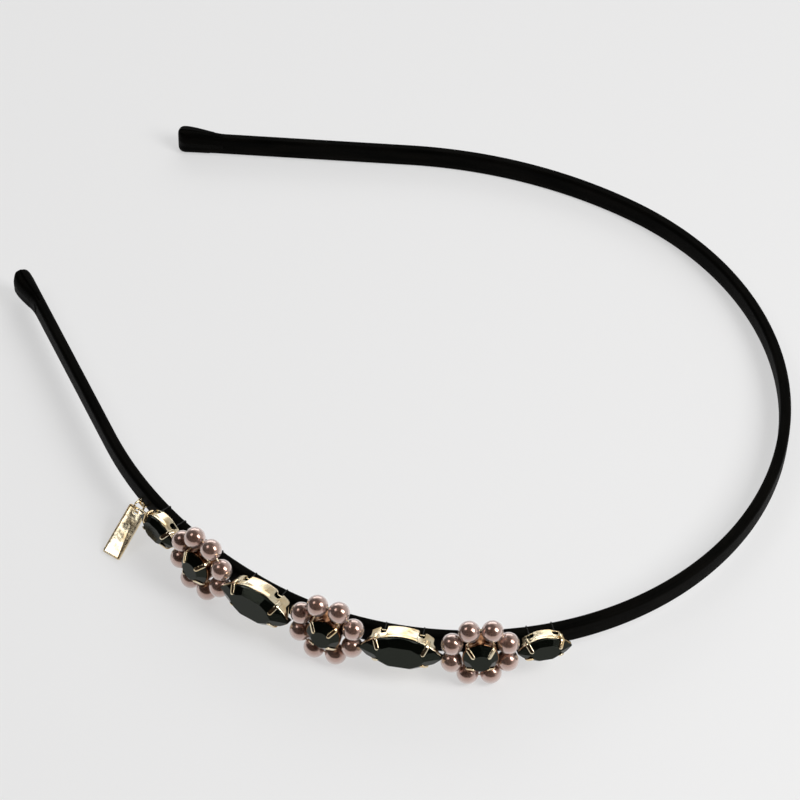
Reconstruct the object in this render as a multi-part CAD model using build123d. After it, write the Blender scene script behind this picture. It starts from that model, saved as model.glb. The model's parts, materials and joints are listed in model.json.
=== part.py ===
from build123d import *
import os
from math import asin, atan2, cos, degrees, hypot, pi, radians, sin, sqrt, tan

# A ribbon-wrapped headband lying on its edge, with a row of four navette stones and three
# pearl flowers on the outside of its left arm, and a small plain tag on a jump ring.
# Millimetres. The band is drawn in its own plane first: the crown's centre is the origin,
# the tips point along +Y, the band's width runs along Z. It is then laid on a table.

# ---- band ----
crown_radius = 62.6
side_radius = 89.3
side_angle = 31.0
arm_length = 48.2
band_thickness = 2.2
band_width = 4.4
band_edge_radius = 0.6
ribbon_thickness = 0.4
core_short = 2.5
ribbon_short = 0.9
cap_length = 9.5
cap_wall = 0.1
cap_tip_radius = 1.85
cap_tip_width = 5.5
cap_corner_radius = 1.0
cap_edge_radius = 0.6
cap_stations = [0.1, 0.3, 0.6, 1.0, 1.85, 3.0, 4.2, 5.4, 6.6, 8.0, cap_length]

# ---- row of ornaments on the left arm ----
middle_flower_station = 84.3
flower_pitch = 26.7
end_navette_offset = 11.0
ornament_lean = 7.0
ornament_rise = 0.3
seat_height = 1.4

# ---- pearls and stones ----
pearl_radius = 2.0
pearl_ring_radius = 5.45
pearl_height = 3.12
pearls_in_flower = 8
bead_wire_radius = 0.16
bore_clearance = 0.05
round_stone_radius = 3.15
round_girdle_height = 4.65
large_navette = {"length": 15.0, "width": 7.0, "girdle_height": 4.4, "crown": 1.35, "pavilion": 2.3}
small_navette = {"length": 10.0, "width": 5.0, "girdle_height": 3.7, "crown": 1.0, "pavilion": 1.7}
round_crown = 1.25
round_pavilion = 2.4
round_main_slope = 44.0
round_star_slope = 25.0
round_table_radius = 1.75
round_pavilion_slope = 40.0
girdle_thickness = 0.25

# ---- settings ----
metal = 0.3
rim_overhang = 0.12
rim_depth = 0.5
stone_gap = 0.03
claw_width = 0.8
claw_reach = 1.35
thread_radius = 0.15
thread_gap = 0.08
thread_bend = 0.4
notch_width = 1.3
cup_end = 0.36          # of a navette's length, from its middle
rim_end = 0.46
claw_place = 0.31
thread_place = 0.23
navette_claw_slope = 40.0
round_claw_slope = 42.0
claw_leg = 1.1
flower_thread_x = 1.5
flower_tunnel_height = 1.3

# ---- tag ----
tag_station = 129.6
loop_wire_radius = 0.22
loop_half_span = 1.05
loop_standoff = 1.0
ring_wire_radius = 0.2
ring_radius = 1.1
ring_turn = 30.0
hinge_clearance = 0.04
tag_length = 10.3
tag_width = 3.8
tag_thickness = 0.6
tag_corner_radius = 0.45
tag_hole_radius = 0.5
tag_hole_edge = 0.9
tag_edge_bevel = 0.08
table_gap = 0.02

crown_length = crown_radius * pi / 2
side_length = side_radius * radians(side_angle)
half_length = crown_length + side_length + arm_length
side_shift = side_radius - crown_radius
UP = Vector(0, 0, 1)


def heading(station):
    """Angle in radians from -X of the left arm's outward direction, at a length from the crown."""
    if station <= crown_length:
        return station / crown_radius - pi / 2
    return min((station - crown_length) / side_radius, radians(side_angle))


def left_point(station):
    """Point of the centreline on the left arm, at a length measured from the top of the crown."""
    turn = heading(station)
    outward = Vector(-cos(turn), sin(turn), 0)
    if station <= crown_length:
        return outward * crown_radius
    along = Vector(sin(turn), cos(turn), 0)
    straight = max(station - crown_length - side_length, 0)
    return Vector(side_shift, 0, 0) + outward * side_radius + along * straight


def seat(station, lean=0.0, rise=0.0):
    """Place on the left arm's centreline: x towards the crown, z outward, y across the band."""
    turn = heading(station)
    to_crown = Vector(-sin(turn), -cos(turn), 0)
    outward = Vector(-cos(turn), sin(turn), 0)
    spot = Plane(origin=left_point(station) + UP * rise, x_dir=to_crown, z_dir=outward)
    return spot.location * Rot(-lean, 0, 0)


def band_path(short):
    """The band's centreline from tip to tip, each end shortened: two lines and three arcs."""
    tip = left_point(half_length - short)
    knee = left_point(crown_length + side_length)
    left_line = Line(tip, knee)
    left_arc = CenterArc((side_shift, 0), side_radius, 180 - side_angle, side_angle)
    crown_arc = CenterArc((0, 0), crown_radius, 180, 180)
    right_arc = CenterArc((-side_shift, 0), side_radius, 0, side_angle)
    right_line = Line((-knee.X, knee.Y), (-tip.X, tip.Y))
    return Wire([left_line, left_arc, crown_arc, right_arc, right_line])


def strip(thickness, width, edge_radius, short):
    """A strip of one section along the band's path."""
    path = band_path(short)
    section = Rectangle(thickness, width)
    if edge_radius:
        section = RectangleRounded(thickness, width, edge_radius)
    turn = heading(half_length)
    start = Plane(origin=path @ 0, x_dir=Vector(-cos(turn), sin(turn), 0), z_dir=path % 0)
    return sweep(start * section, path=path)


def rounding(reach, radius):
    """Share of its full size that a shape has at a distance from a quarter-round end."""
    return sqrt(1 - max(1 - reach / radius, 0) ** 2)


def end_cap(side):
    """Ribbon end turned over the tip: flat inside, swelling outward and sideways to a rounded end."""
    inner = -band_thickness / 2 - cap_wall
    mouth = band_thickness / 2 + cap_wall
    crest = inner + 2 * cap_tip_radius
    sections = []
    for reach in cap_stations:
        left = 1 - reach / cap_length
        swell = min(left / (1 - cap_tip_radius / cap_length), 1)
        outer = mouth + (crest - mouth) * swell ** 2 * (3 - 2 * swell)
        thickness = (outer - inner) * rounding(reach, cap_tip_radius)
        width = band_width + 2 * cap_wall + (cap_tip_width - band_width) * left
        width -= 2 * cap_corner_radius * (1 - rounding(reach, cap_corner_radius))
        middle = Plane(origin=(reach, 0, (inner + outer) / 2), x_dir=(0, 0, 1), z_dir=(1, 0, 0))
        sections.append(middle * RectangleRounded(thickness, width, min(cap_edge_radius, 0.4 * thickness)))
    body = seat(half_length) * loft(sections, ruled=True)
    if side == "right":
        body = mirror(body, about=Plane.YZ)
    return body - strip(band_thickness, band_width, band_edge_radius, ribbon_short)


def vesica_radius(length, width):
    """Radius of the two equal arcs that make a pointed oval."""
    return (length ** 2 + width ** 2) / (4 * width)


def vesica(length, width):
    """Pointed oval: the overlap of two equal circles."""
    radius = vesica_radius(length, width)
    drop = radius - width / 2
    return (Pos(0, -drop) * Circle(radius)) & (Pos(0, drop) * Circle(radius))


def vesica_reach(length, width, angle):
    """How far the pointed oval reaches from its centre in a direction given in degrees."""
    radius = vesica_radius(length, width)
    drop = radius - width / 2
    across = abs(sin(radians(angle)))
    along = abs(cos(radians(angle)))
    on_arc = along * radius <= length / 2
    return radius - drop * across if on_arc else along * length / 2


def facet(stone, angle, reach, height, slope, below=False):
    """Cut one flat facet whose plane leans in by a slope in degrees, above or below the girdle."""
    sign = -1 if below else 1
    direction = Vector(cos(radians(angle)), sin(radians(angle)), 0)
    normal = direction * sin(radians(slope)) + UP * (sign * cos(radians(slope)))
    plane = Plane(origin=direction * reach + UP * height, z_dir=normal)
    return split(stone, bisect_by=plane, keep=Keep.BOTTOM)


def stone(outline, crown, pavilion, crown_facets, pavilion_facets):
    """A cut stone, girdle at height 0: a prism of the outline with facets cut off above and below."""
    body = extrude(outline, crown + girdle_thickness)
    body += extrude(outline, -pavilion)
    for angle, reach, slope in crown_facets:
        body = facet(body, angle, reach, girdle_thickness, slope)
    for angle, reach, slope in pavilion_facets:
        body = facet(body, angle, reach, 0, slope, below=True)
    return body


def navette_stone(size):
    """A navette: steep side facets, shallower ones towards the points, four facets underneath."""
    length, width, pavilion = size["length"], size["width"], size["pavilion"]
    crown_facets = []
    for angle, slope in ((90, 48), (62, 46), (38, 30)):
        reach = vesica_reach(length, width, angle)
        for turned in {angle, 180 - angle, 180 + angle, 360 - angle}:
            crown_facets.append((turned, reach, slope))
    pavilion_slope = degrees(atan2(pavilion, width / 2)) + 4
    pavilion_facets = []
    for angle in (70, 110, 250, 290):
        pavilion_facets.append((angle, vesica_reach(length, width, angle), pavilion_slope))
    return stone(vesica(length, width), size["crown"], pavilion, crown_facets, pavilion_facets)


def round_stone():
    """A round stone: eight main facets, eight star facets between them, eight underneath."""
    edge = round_stone_radius - 0.1
    star_reach = round_table_radius + round_crown / tan(radians(round_star_slope))
    crown_facets = []
    pavilion_facets = []
    for k in range(8):
        crown_facets.append((45 * k + 22.5, edge, round_main_slope))
        crown_facets.append((45 * k, star_reach, round_star_slope))
        pavilion_facets.append((45 * k + 22.5, edge, round_pavilion_slope))
    return stone(Circle(round_stone_radius), round_crown, round_pavilion, crown_facets, pavilion_facets)


def claw(reach_in, slope):
    """One claw in its own plane: x outward from the girdle's edge, z up from the girdle's foot."""
    lift = girdle_thickness + stone_gap
    rise = tan(radians(slope))
    outer = rim_overhang + metal
    lean_out = metal / cos(radians(slope))
    root = 0.1
    points = [
        (-root, -claw_leg),
        (outer, -claw_leg),
        (outer, lift + lean_out - outer * rise + root),
        (-reach_in, lift + lean_out + reach_in * rise),
        (-reach_in - metal * sin(radians(slope)), lift + reach_in * rise + root),
        (-reach_in, lift + reach_in * rise),
        (stone_gap, lift - stone_gap * rise),
        (stone_gap, -stone_gap),
        (-root, -stone_gap),
    ]
    profile = make_face(Polyline(*points, close=True).edges())
    upright = Plane(origin=(0, 0, 0), x_dir=(1, 0, 0), z_dir=(0, -1, 0))
    blade = extrude(upright * profile, claw_width / 2, both=True)
    plan_length = reach_in + metal + outer + claw_width
    plan = Pos(outer - plan_length / 2 + claw_width / 2, 0, 0) * SlotOverall(plan_length, claw_width)
    return blade & extrude(plan, claw_leg + round_girdle_height, both=True)


def thread_side(side):
    """Both ends of a thread's run down one side of the band, in an ornament's frame: y and z of each."""
    lean = radians(ornament_lean)
    clear = thread_radius + thread_gap / 4
    across = side * (band_width / 2 + clear) - ornament_rise
    back = -band_thickness / 2 - clear
    top = seat_height + metal + thread_radius + thread_gap / 2
    foot = (across * cos(lean) - back * sin(lean), across * sin(lean) + back * cos(lean))
    head = ((across - top * sin(lean)) / cos(lean), top)
    return foot, head


def thread_loop(x):
    """One thread round the back of the band and over the setting's floor, across the band at x."""
    low_foot, low_head = thread_side(-1)
    high_foot, high_head = thread_side(1)
    corners = [low_foot, high_foot, high_head, low_head]
    path = FilletPolyline(*[(x, y, z) for y, z in corners], radius=thread_bend, close=True)
    start = Plane(origin=path @ 0, z_dir=path % 0)
    return sweep(start * Circle(thread_radius), path=path)


def cup(outline, floor_outline, girdle_height):
    """Stamped cup: a floor, a wall of the outline, and a rim that the stone's girdle rests on."""
    inner = offset(outline, -metal - rim_overhang)
    outer = offset(outline, rim_overhang, kind=Kind.INTERSECTION)
    wall = Pos(0, 0, seat_height) * extrude(outline - inner, girdle_height - seat_height)
    rim = Pos(0, 0, girdle_height - rim_depth) * extrude(outer - inner, rim_depth)
    floor = Pos(0, 0, seat_height) * extrude(floor_outline, metal)
    return floor, wall, rim


def thread_tunnels(x, height):
    """Cuts at x and -x: an arched tunnel above the floor, and a slot in each edge of the floor."""
    floor_top = seat_height + metal
    tunnel_length = 12.0
    slot_depth = 3.0
    tunnel = Box(notch_width, tunnel_length, height, align=(Align.CENTER, Align.CENTER, Align.MIN))
    tunnel = fillet(tunnel.edges().filter_by(Axis.Y).group_by(Axis.Z)[-1], notch_width * 0.4)
    slot = Box(notch_width, slot_depth, 2 * metal)
    inset = thread_radius + 3 * thread_gap
    cuts = []
    for place in (-x, x):
        cuts.append(Pos(place, 0, floor_top) * tunnel)
        for side in (-1, 1):
            head = thread_side(side)[1]
            slot_y = head[0] + side * (slot_depth / 2 - inset)
            cuts.append(Pos(place, slot_y, floor_top - metal) * slot)
    return cuts


def navette_setting(size):
    """Claw cup of a navette: open at the points, with two thread notches in each long side."""
    length, width, girdle = size["length"], size["width"], size["girdle_height"]
    outline = vesica(length, width)
    floor_outline = outline & Rectangle(2 * cup_end * length, width)
    floor, wall, rim = cup(outline, floor_outline, girdle)
    wall &= Box(2 * cup_end * length, 2 * width, 4 * girdle)
    rim &= Box(2 * rim_end * length, 2 * width, 4 * girdle)
    body = floor + wall + rim
    body -= thread_tunnels(thread_place * length, (girdle - seat_height) / 2)
    radius = vesica_radius(length, width)
    claw_x = claw_place * length
    turn = asin(claw_x / radius)
    claw_y = radius * cos(turn) - (radius - width / 2)
    blade = claw(claw_reach * (0.6 + 0.4 * width / large_navette["width"]), navette_claw_slope)
    for side_x in (-1, 1):
        for side_y in (-1, 1):
            out_angle = degrees(atan2(side_y * cos(turn), side_x * sin(turn)))
            body += Pos(side_x * claw_x, side_y * claw_y, girdle) * Rot(0, 0, out_angle) * blade
    return body


def round_setting():
    """Round claw cup inside a flower, with four claws set between the pearls."""
    outline = Circle(round_stone_radius)
    floor, wall, rim = cup(outline, outline, round_girdle_height)
    body = floor + wall + rim
    body -= thread_tunnels(flower_thread_x, flower_tunnel_height)
    blade = claw(claw_reach, round_claw_slope)
    for k in range(4):
        angle = 45 + 90 * k
        body += Rot(0, 0, angle) * Pos(round_stone_radius, 0, round_girdle_height) * blade
    return body


def flower_pearl(k):
    """One pearl of a flower, drilled along the ring that the bead wire follows."""
    angle = radians(360 / pearls_in_flower * (k + 0.5))
    spot = Pos(pearl_ring_radius * cos(angle), pearl_ring_radius * sin(angle), pearl_height)
    bore = Pos(0, 0, pearl_height) * Torus(pearl_ring_radius, bead_wire_radius + bore_clearance)
    return spot * Sphere(pearl_radius) - bore


def tag_loop():
    """Wire staple in the band: two legs through the ribbon and a straight bar along the band."""
    height = band_thickness / 2 + loop_standoff
    foot = band_thickness / 2 - ribbon_thickness
    path = FilletPolyline(
        (-loop_half_span, 0, foot),
        (-loop_half_span, 0, height),
        (loop_half_span, 0, height),
        (loop_half_span, 0, foot),
        radius=2 * loop_wire_radius,
    )
    start = Plane(origin=path @ 0, z_dir=path % 0)
    return sweep(start * Circle(loop_wire_radius), path=path)


def table_plane():
    """The table top in the band's frame: it touches the two outermost low pearls and the plain arm."""
    first = seat(flower_stations[0], ornament_lean, ornament_rise)
    last = seat(flower_stations[-1], ornament_lean, ornament_rise)
    half_step = pi / pearls_in_flower
    low = Vector(-pearl_ring_radius * sin(half_step), -pearl_ring_radius * cos(half_step), pearl_height)
    near_tip = (first * Pos(low)).position
    near_crown = (last * Pos(-low.X, low.Y, low.Z)).position
    chord = near_crown - near_tip
    across = Vector(-chord.Y, chord.X, 0).normalized()
    edge = Vector(-side_shift, 0, band_edge_radius - band_width / 2)
    edge += across * (side_radius + band_thickness / 2 - band_edge_radius)
    normal = UP
    for _ in range(6):
        a = near_tip - normal * pearl_radius
        b = near_crown - normal * pearl_radius
        c = edge - normal * band_edge_radius
        normal = (b - a).cross(c - a).normalized()
    return Plane(origin=a, x_dir=Vector(0, 1, 0).cross(normal), z_dir=normal)


# ---- the pieces, in the band's frame ----
flower_stations = [middle_flower_station + flower_pitch * k for k in (1, 0, -1)]
navettes = [
    (flower_stations[0] + end_navette_offset, small_navette),
    (middle_flower_station + flower_pitch / 2, large_navette),
    (middle_flower_station - flower_pitch / 2, large_navette),
    (flower_stations[2] - end_navette_offset, small_navette),
]
pieces = {}

loop_seat = seat(tag_station)
loop = loop_seat * tag_loop()
core_thickness = band_thickness - 2 * ribbon_thickness
core_width = band_width - 2 * ribbon_thickness
pieces["core_strip"] = strip(core_thickness, core_width, 0, core_short)
wrap = strip(band_thickness, band_width, band_edge_radius, ribbon_short)
wrap -= strip(core_thickness, core_width, 0, ribbon_short)
pieces["ribbon_wrap"] = wrap - loop
pieces["left_end_cap"] = end_cap("left")
pieces["right_end_cap"] = end_cap("right")

for number, (station, size) in enumerate(navettes, 1):
    place = seat(station, ornament_lean, ornament_rise)
    lift = Pos(0, 0, size["girdle_height"])
    gem = lift * navette_stone(size)
    pieces[f"navette_setting_{number}"] = place * (navette_setting(size) - gem)
    pieces[f"navette_stone_{number}"] = place * gem
    thread_x = thread_place * size["length"]
    pieces[f"navette_thread_{number}"] = place * Compound([thread_loop(-thread_x), thread_loop(thread_x)])

for number, station in enumerate(flower_stations, 1):
    place = seat(station, ornament_lean, ornament_rise)
    lift = Pos(0, 0, round_girdle_height)
    gem = lift * round_stone()
    pieces[f"flower_setting_{number}"] = place * (round_setting() - gem)
    pieces[f"flower_stone_{number}"] = place * gem
    ring = Pos(0, 0, pearl_height) * Torus(pearl_ring_radius, bead_wire_radius)
    pieces[f"bead_wire_{number}"] = place * ring
    for k in range(pearls_in_flower):
        pieces[f"pearl_{number}_{k + 1}"] = place * flower_pearl(k)
    loops = [thread_loop(-flower_thread_x), thread_loop(flower_thread_x)]
    pieces[f"flower_thread_{number}"] = place * Compound(loops)

pieces["tag_loop"] = loop

# ---- laid on the table ----
table = table_plane()
laid = {name: table.location.inverse() * piece for name, piece in pieces.items()}

# ---- jump ring and tag, leaning outward until the tag's edge meets the table ----
bar = table.location.inverse() * loop_seat * Pos(0, 0, band_thickness / 2 + loop_standoff)
bar_spot = bar.position
ring_shift = ring_radius - ring_wire_radius - loop_wire_radius - hinge_clearance
hole_reach = ring_shift + ring_radius
tag_reach = hole_reach + tag_length - tag_hole_edge
droop = asin((bar_spot.Z - table_gap) / hypot(tag_reach, tag_thickness / 2))
droop -= atan2(tag_thickness / 2, tag_reach)
hang = Vector(-cos(droop), 0, -sin(droop))
tag_face = Vector(-sin(droop), 0, cos(droop))
chain = Plane(origin=bar_spot, x_dir=hang, z_dir=tag_face).location
ring_place = chain * Pos(ring_shift, 0, 0) * Rot(90 + ring_turn, 0, 0)
laid["jump_ring"] = ring_place * Torus(ring_radius, ring_wire_radius)
blank = RectangleRounded(tag_length, tag_width, tag_corner_radius)
plate = extrude(blank, tag_thickness / 2, both=True)
plate = chamfer(plate.edges().group_by(Axis.Z)[0] + plate.edges().group_by(Axis.Z)[-1], tag_edge_bevel)
plate -= Pos(tag_hole_edge - tag_length / 2, 0, 0) * Cylinder(tag_hole_radius, 2 * tag_thickness)
tag_place = chain * Pos(hole_reach + tag_length / 2 - tag_hole_edge, 0, 0)
laid["tag"] = tag_place * plate

# ---- the origin is the middle of the foot of the whole object ----
whole = Compound(list(laid.values())).bounding_box()
to_origin = Pos(-whole.center().X, -whole.center().Y, -whole.min.Z)

os.makedirs("parts", exist_ok=True)
for name, piece in laid.items():
    export_step(to_origin * piece, f"parts/{name}.step")
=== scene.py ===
import json
import math

import bpy
import numpy as np
from mathutils import Matrix, Vector


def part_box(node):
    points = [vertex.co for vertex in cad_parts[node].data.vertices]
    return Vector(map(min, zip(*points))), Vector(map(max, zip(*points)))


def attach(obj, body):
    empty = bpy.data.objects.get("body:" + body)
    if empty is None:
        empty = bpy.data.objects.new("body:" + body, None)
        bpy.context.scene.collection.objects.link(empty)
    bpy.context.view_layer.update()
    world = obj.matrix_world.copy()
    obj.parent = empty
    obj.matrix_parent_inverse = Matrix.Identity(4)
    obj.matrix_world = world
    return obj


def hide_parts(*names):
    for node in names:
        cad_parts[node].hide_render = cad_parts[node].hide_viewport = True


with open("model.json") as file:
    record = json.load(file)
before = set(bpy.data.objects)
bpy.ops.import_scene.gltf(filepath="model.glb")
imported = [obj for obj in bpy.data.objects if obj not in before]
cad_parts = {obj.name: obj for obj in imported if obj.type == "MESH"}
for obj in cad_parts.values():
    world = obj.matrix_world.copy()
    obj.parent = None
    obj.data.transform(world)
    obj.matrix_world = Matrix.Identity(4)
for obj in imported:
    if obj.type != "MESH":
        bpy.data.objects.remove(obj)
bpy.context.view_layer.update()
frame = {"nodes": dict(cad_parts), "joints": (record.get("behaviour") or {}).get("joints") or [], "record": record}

bl_info = {
    "name": "Pearl flower headband",
    "version": (1, 0, 0),
    "blender": (4, 5, 0),
    "location": "View3D > Sidebar > Headband",
    "description": "Builds the satin, pearls, claw cups and tag of a slim headband round its frame",
    "category": "Object",
}

MM = 0.001
TAU = 2 * math.pi
NODES = sorted(frame["nodes"])
GRIP = next(mount for mount in frame["record"]["mounts"] if mount["name"] == "head_grip")
LEFT_ARM = 1
RIGHT_ARM = -1


def length(name, description, millimetres):
    """A size property that is shown as a length."""
    return bpy.props.FloatProperty(
        name=name, description=description, default=millimetres * MM, unit="LENGTH", precision=5
    )


def degrees(name, description, default):
    """An angle property whose default is given in degrees."""
    return bpy.props.FloatProperty(
        name=name, description=description, default=math.radians(default), subtype="ANGLE"
    )


def colour(name, description, default):
    """A colour property with no alpha."""
    return bpy.props.FloatVectorProperty(
        name=name, description=description, default=default, subtype="COLOR", size=3, min=0, max=1
    )


# ---------------------------------------------------------------- settings


class BandSizes(bpy.types.PropertyGroup):
    crown_radius: length("Crown radius", "Radius of the half circle over the head", 62.6)
    side_radius: length("Side radius", "Radius of the flatter arc behind each ear", 89.3)
    side_angle: degrees("Side angle", "Turn of each side arc", 31)
    arm_length: length("Arm length", "Straight run at each end", 48.2)
    width: length("Width", "Width of the wrapped band", 4.4)
    thickness: length("Thickness", "Thickness of the wrapped band", 2.2)
    edge: length("Edge radius", "Rounding of the band's long edges", 0.65)
    ribbon: length("Ribbon", "Step where the ribbon laps over itself", 0.1)
    tip_length: length("Tip length", "Length of the folded ribbon end", 9.5)
    tip_radius: length("Tip radius", "Half the thickness of the swollen tip", 1.85)
    tip_width: length("Tip width", "Width of the swollen tip", 5.5)
    tip_corner: length("Tip corner", "Rounding of the tip's corners", 1)


class OrnamentSizes(bpy.types.PropertyGroup):
    middle_flower: length("Middle flower", "Length from the crown to the middle flower", 84.3)
    pitch: length("Pitch", "Length from flower to flower", 26.7)
    end_offset: length("End offset", "Length from an outer flower to the small stone beside it", 11)
    lean: degrees("Lean", "Lean of the ornaments to one side", 7)
    rise: length("Rise", "Shift of the ornaments across the band", 0.3)
    seat: length("Seat", "Height of the cups' floor over the band's middle", 1.4)
    pearl_radius: length("Pearl radius", "Radius of one pearl", 2)
    ring_radius: length("Ring radius", "Radius of a flower's ring of pearls", 5.45)
    pearl_height: length("Pearl height", "Height of the ring over the band's middle", 3.12)
    bore_radius: length("Bore radius", "Radius of the hole through a pearl", 0.22)
    wire_radius: length("Wire radius", "Radius of the wire through the pearls", 0.16)
    round_radius: length("Round stone", "Radius of a flower's stone", 3.15)
    round_girdle: length("Round girdle", "Height of a flower's stone", 4.65)
    metal: length("Metal", "Thickness of the stamped cups", 0.3)
    claw_width: length("Claw width", "Width of one claw", 0.8)
    claw_reach: length("Claw reach", "How far a claw lies over the stone", 1.35)
    thread_radius: length("Thread radius", "Radius of the sewing thread", 0.13)
    thread_sunk: length("Thread sunk", "How deep the thread presses into the ribbon", 0.14)


class TagSizes(bpy.types.PropertyGroup):
    rim: length("Rim", "Width of the raised rim round the tag", 0.28)
    groove: length("Groove", "Depth of the tag's field below its rim", 0.07)
    corner: length("Corner", "Radius of the tag's corners", 0.45)
    hole: length("Hole", "Radius of the tag's hole", 0.5)
    hole_edge: length("Hole edge", "Length from the tag's edge to the hole's middle", 0.9)
    size: length("Length", "Length of the tag", 10.3)
    width: length("Width", "Width of the tag", 3.8)
    thickness: length("Thickness", "Thickness of the tag", 0.6)
    ring_radius: length("Ring radius", "Radius of the jump ring's middle line", 1.1)
    ring_wire: length("Ring wire", "Radius of the jump ring's wire", 0.2)
    ring_gap: length("Ring gap", "Slit where the jump ring closes", 0.06)


class FinishColours(bpy.types.PropertyGroup):
    satin: colour("Satin", "Black satin ribbon", (0.0012, 0.0012, 0.0009))
    # Painted sheen: a lighter satin colour laid in soft random patches, standing in for light caught by the satin.
    satin_painted_sheen: colour("Satin high spots", "Ribbon where it catches the light", (0.0035, 0.0031, 0.0024))
    gold: colour("Gold", "Pale gold plating", (0.93, 0.82, 0.60))
    gold_deep: colour("Deep gold", "Plating in its hollows", (0.80, 0.58, 0.30))
    # The flower cups' two colours are painted shade: the same gold made dark and brown as if shaded by the pearls
    # and mirroring them. The darker one is deeper painted shade, not tarnish.
    gold_painted_shade: colour("Dull gold", "Plating of the cups inside the flowers", (0.34, 0.18, 0.09))
    gold_painted_deep_shade: colour("Dark gold", "Tarnish of the cups inside the flowers", (0.10, 0.04, 0.02))
    glass: colour("Black glass", "Cut stones", (0.001, 0.0015, 0.0012))
    pearl: colour("Pearl", "Mauve pearl coating", (0.50, 0.32, 0.26))
    pearl_warm: colour("Warm pearl", "Coating where it is thinner", (0.36, 0.18, 0.12))
    pearl_rim: colour("Pearl rim", "Coating seen at a low angle", (0.86, 0.76, 0.73))
    thread: colour("Thread", "Black sewing thread", (0.006, 0.006, 0.006))
    floor: colour("Floor", "Pale table and backdrop", (0.36, 0.36, 0.36))


class StageSettings(bpy.types.PropertyGroup):
    azimuth: degrees("Azimuth", "Turn of the camera round the band", -56.5)
    elevation: degrees("Elevation", "Camera's height over the band's plane", 46.2)
    roll: degrees("Roll", "Turn of the picture", -1.8)
    distance: length("Distance", "Length from the aimed point to the camera", 619.5)
    aim_x: length("Aim across", "Aimed point across the band", -8.97)
    aim_y: length("Aim along", "Aimed point from the crown's middle towards the tips", 7.65)
    lens: bpy.props.FloatProperty(
        name="Lens", description="Focal length on a 36 mm sensor", default=145.4, min=1
    )


SETTINGS = {
    "headband_band": BandSizes,
    "headband_ornaments": OrnamentSizes,
    "headband_tag": TagSizes,
    "headband_colours": FinishColours,
    "headband_stage": StageSettings,
}


def settings(name):
    """One of this file's groups of properties on the scene."""
    return getattr(bpy.context.scene, name)


# ---------------------------------------------------------------- finishes


class Value:
    """A number that changes over a surface: a node's socket, on which arithmetic adds Math nodes."""

    def __init__(self, finish, socket):
        self.finish = finish
        self.socket = socket

    def maths(self, operation, *numbers):
        return self.finish.add("ShaderNodeMath", {"operation": operation}, dict(enumerate(numbers)))

    def __add__(self, other):
        return self.maths("ADD", self, other)

    __radd__ = __add__

    def __sub__(self, other):
        return self.maths("SUBTRACT", self, other)

    def __rsub__(self, other):
        return self.maths("SUBTRACT", other, self)

    def __mul__(self, other):
        return self.maths("MULTIPLY", self, other)

    __rmul__ = __mul__

    def sine(self):
        return self.maths("SINE", self)


class Finish:
    """The node tree of one material or of the world."""

    def __init__(self, tree):
        self.tree = tree
        tree.nodes.clear()

    def add(self, kind, options=None, sockets=None, out=0):
        """Adds a node: its options first, then the values or links of its sockets. Returns one output."""
        node = self.tree.nodes.new(kind)
        for name, option in (options or {}).items():
            if name == "stops":
                self.set_stops(node.color_ramp, option)
            else:
                setattr(node, name, option)
        for key, value in (sockets or {}).items():
            if isinstance(value, Value):
                self.tree.links.new(value.socket, node.inputs[key])
            else:
                node.inputs[key].default_value = value
        return Value(self, node.outputs[out]) if node.outputs else node

    def set_stops(self, ramp, stops):
        while len(ramp.elements) < len(stops):
            ramp.elements.new(1)
        for element, (place, shade) in zip(ramp.elements, stops):
            element.position = place
            element.color = (*shade, 1)

    def part(self, place, axis):
        return self.add("ShaderNodeSeparateXYZ", None, {"Vector": place}, out=axis)

    def object_place(self):
        return self.add("ShaderNodeTexCoord", out="Object")

    def surface_place(self, name):
        return self.add("ShaderNodeUVMap", {"uv_map": name})

    def noise(self, place, scale, detail=2.0, roughness=0.5):
        sockets = {"Vector": place, "Scale": scale, "Detail": detail, "Roughness": roughness}
        return self.add("ShaderNodeTexNoise", None, sockets)

    def stretch(self, place, scale):
        return self.add("ShaderNodeMapping", None, {"Vector": place, "Scale": scale})

    def ramp(self, value, stops):
        return self.add("ShaderNodeValToRGB", {"stops": stops}, {"Fac": value})

    def mix(self, factor, first, second):
        options = {"data_type": "RGBA"}
        return self.add("ShaderNodeMix", options, {0: factor, 6: first, 7: second}, out=2)

    def bump(self, height, strength, distance):
        sockets = {"Height": height, "Strength": strength, "Distance": distance}
        return self.add("ShaderNodeBump", None, sockets)

    def finish(self, **sockets):
        """Ends the tree with a Principled shader; keyword names spell the sockets with underscores."""
        named = {name.replace("_", " "): value for name, value in sockets.items()}
        shader = self.add("ShaderNodeBsdfPrincipled", None, named)
        self.add("ShaderNodeOutputMaterial", None, {"Surface": shader})


def material(name):
    made = bpy.data.materials.new(name)
    made.use_nodes = True
    return made, Finish(made.node_tree)


def opaque(shade):
    return (*shade, 1)


def satin_finish():
    """Satin ribbon: long floats of warp that run with the ribbon, faint cross picks, and soft patches of painted
    sheen laid in long random clouds.
    """
    colours = settings("headband_colours")
    made, tree = material("black_satin")
    place = tree.surface_place("ribbon")
    along = tree.part(place, "X")
    across = tree.part(place, "Y")
    floats = (across * (TAU / 0.16)).sine()
    picks = (along * (TAU / 0.22)).sine()
    slub = tree.noise(tree.stretch(place, (0.7, 9, 1)), 1.0, 3, 0.6)
    cloud = tree.noise(tree.stretch(place, (0.10, 0.5, 1)), 1.0, 2)
    weave = floats * 0.5 + picks * 0.18 + slub * 1.4
    # Painted sheen mask: the lighter satin colour goes where the long cloud noise is high, standing in for light
    # caught by the satin.
    painted_sheen_mask = tree.ramp(cloud, [(0.35, (0, 0, 0)), (0.7, (1, 1, 1))])
    tree.finish(
        Base_Color=tree.mix(painted_sheen_mask, opaque(colours.satin), opaque(colours.satin_painted_sheen)),
        Roughness=0.40 + slub * 0.16,
        IOR=1.07,
        Normal=tree.bump(weave, 0.35, 0.00003),
    )
    return made


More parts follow.
